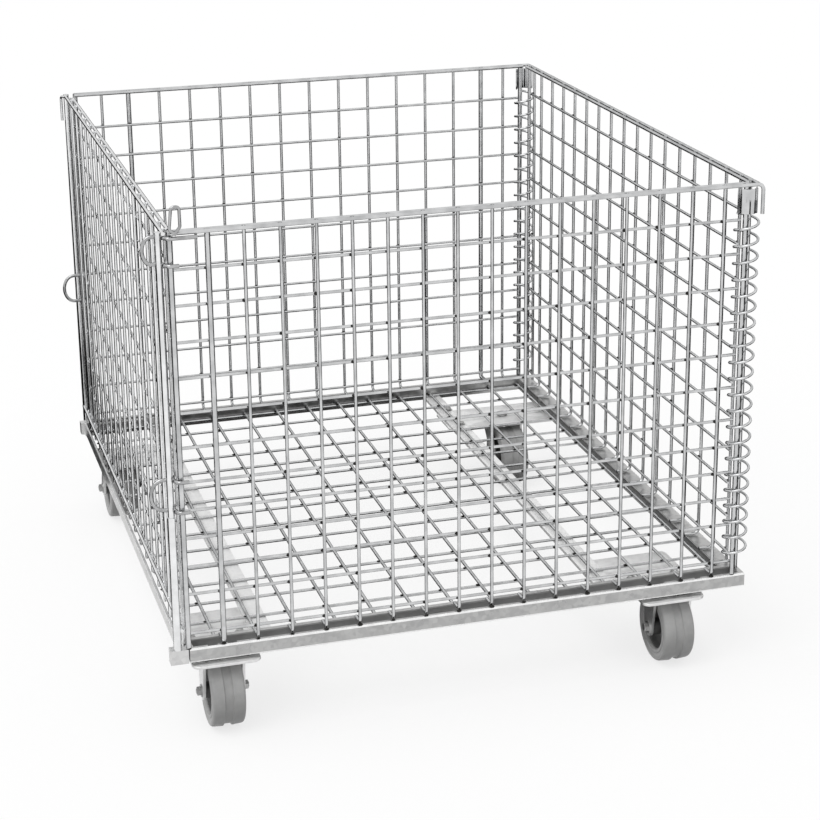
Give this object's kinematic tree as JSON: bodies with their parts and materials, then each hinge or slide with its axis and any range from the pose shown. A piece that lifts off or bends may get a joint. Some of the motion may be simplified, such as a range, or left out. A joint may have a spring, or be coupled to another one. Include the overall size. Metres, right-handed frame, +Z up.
{
  "type": "wheeled wire bin",
  "caption": "Open-top welded wire bin on casters, with a side gate held by wire clips, coil-wound corner joints and a mesh floor in a steel frame.",
  "frame": {"origin": "centre of the footprint of the bounding box, on the ground under the wheels", "axes": "+Z up, +X to the right along the front, -Y out of the front, so +Y runs from front to back"},
  "size_m": [0.9102, 1.0152, 0.7936],
  "materials": {
    "plated_wire": "bright plated wire",
    "zinc_sheet": "zinc plated sheet and bar",
    "zinc_hardware": "zinc plated bolts and pins",
    "wheel_hub": "moulded hub",
    "wheel_tyre": "grey rubber tread"
  },
  "bodies": {
    "base": {"floor_mesh": "plated_wire", "front_panel": "plated_wire", "back_panel": "plated_wire", "right_panel": "plated_wire", "front_coil": "plated_wire", "back_coil": "plated_wire", "back_ring": "plated_wire", "hairpin_handle": "plated_wire", "front_rail": "zinc_sheet", "back_rail": "zinc_sheet", "left_rail": "zinc_sheet", "right_rail": "zinc_sheet", "left_bar": "zinc_sheet", "right_bar": "zinc_sheet", "front_coil_cap": "zinc_sheet", "back_coil_cap": "zinc_sheet", "mount_sheet_fl": "zinc_sheet", "mount_sheet_fr": "zinc_sheet", "bracket_fl": "zinc_sheet", "bracket_fr": "zinc_sheet", "swivel_plate_bl": "zinc_sheet", "swivel_plate_br": "zinc_sheet", "kingpin_bl": "zinc_hardware", "kingpin_br": "zinc_hardware", "axle_fl": "zinc_hardware", "axle_fr": "zinc_hardware", "caster_bolt_fl_1": "zinc_hardware", "caster_bolt_fl_2": "zinc_hardware", "caster_bolt_fl_3": "zinc_hardware", "caster_bolt_fl_4": "zinc_hardware", "caster_bolt_fr_1": "zinc_hardware", "caster_bolt_fr_2": "zinc_hardware", "caster_bolt_fr_3": "zinc_hardware", "caster_bolt_fr_4": "zinc_hardware", "caster_bolt_bl_1": "zinc_hardware", "caster_bolt_bl_2": "zinc_hardware", "caster_bolt_bl_3": "zinc_hardware", "caster_bolt_bl_4": "zinc_hardware", "caster_bolt_br_1": "zinc_hardware", "caster_bolt_br_2": "zinc_hardware", "caster_bolt_br_3": "zinc_hardware", "caster_bolt_br_4": "zinc_hardware"},
    "gate": {"gate_panel": "plated_wire"},
    "upper_clip": {"gate_clip_upper": "plated_wire"},
    "lower_clip": {"gate_clip_lower": "plated_wire"},
    "wheel_front_left": {"wheel_hub_fl": "wheel_hub", "wheel_tyre_fl": "wheel_tyre"},
    "wheel_front_right": {"wheel_hub_fr": "wheel_hub", "wheel_tyre_fr": "wheel_tyre"},
    "swivel_back_left": {"fork_bl": "zinc_sheet", "axle_bl": "zinc_hardware"},
    "swivel_back_right": {"fork_br": "zinc_sheet", "axle_br": "zinc_hardware"},
    "wheel_back_left": {"wheel_hub_bl": "wheel_hub", "wheel_tyre_bl": "wheel_tyre"},
    "wheel_back_right": {"wheel_hub_br": "wheel_hub", "wheel_tyre_br": "wheel_tyre"}
  },
  "joints": [
    {"name": "gate_swing", "type": "hinge", "parent": "base", "child": "gate", "pos_m": [-0.41768, 0.49592, 0.4535], "axis": [0, 0, -1], "range_deg": [0, 85]},
    {"name": "upper_clip_turn", "type": "hinge", "parent": "gate", "child": "upper_clip", "pos_m": [-0.42668, -0.49108, 0.723], "axis": [0, 0, -1], "range_deg": [0, 75]},
    {"name": "lower_clip_turn", "type": "hinge", "parent": "gate", "child": "lower_clip", "pos_m": [-0.42668, -0.49108, 0.377], "axis": [0, 0, -1], "range_deg": [0, 75]},
    {"name": "front_left_roll", "type": "hinge", "parent": "base", "child": "wheel_front_left", "pos_m": [-0.35768, -0.45308, 0.0545], "axis": [1, 0, 0], "continuous": true},
    {"name": "front_right_roll", "type": "hinge", "parent": "base", "child": "wheel_front_right", "pos_m": [0.34032, -0.45308, 0.0545], "axis": [1, 0, 0], "continuous": true},
    {"name": "back_left_swivel", "type": "hinge", "parent": "base", "child": "swivel_back_left", "pos_m": [-0.37768, 0.34692, 0.1135], "axis": [0, 0, 1], "continuous": true},
    {"name": "back_right_swivel", "type": "hinge", "parent": "base", "child": "swivel_back_right", "pos_m": [0.34332, 0.34692, 0.1135], "axis": [0, 0, 1], "continuous": true},
    {"name": "back_left_roll", "type": "hinge", "parent": "swivel_back_left", "child": "wheel_back_left", "pos_m": [-0.37768, 0.37992, 0.0545], "axis": [1, 0, 0], "continuous": true},
    {"name": "back_right_roll", "type": "hinge", "parent": "swivel_back_right", "child": "wheel_back_right", "pos_m": [0.34332, 0.31392, 0.0545], "axis": [1, 0, 0], "continuous": true}
  ]
}
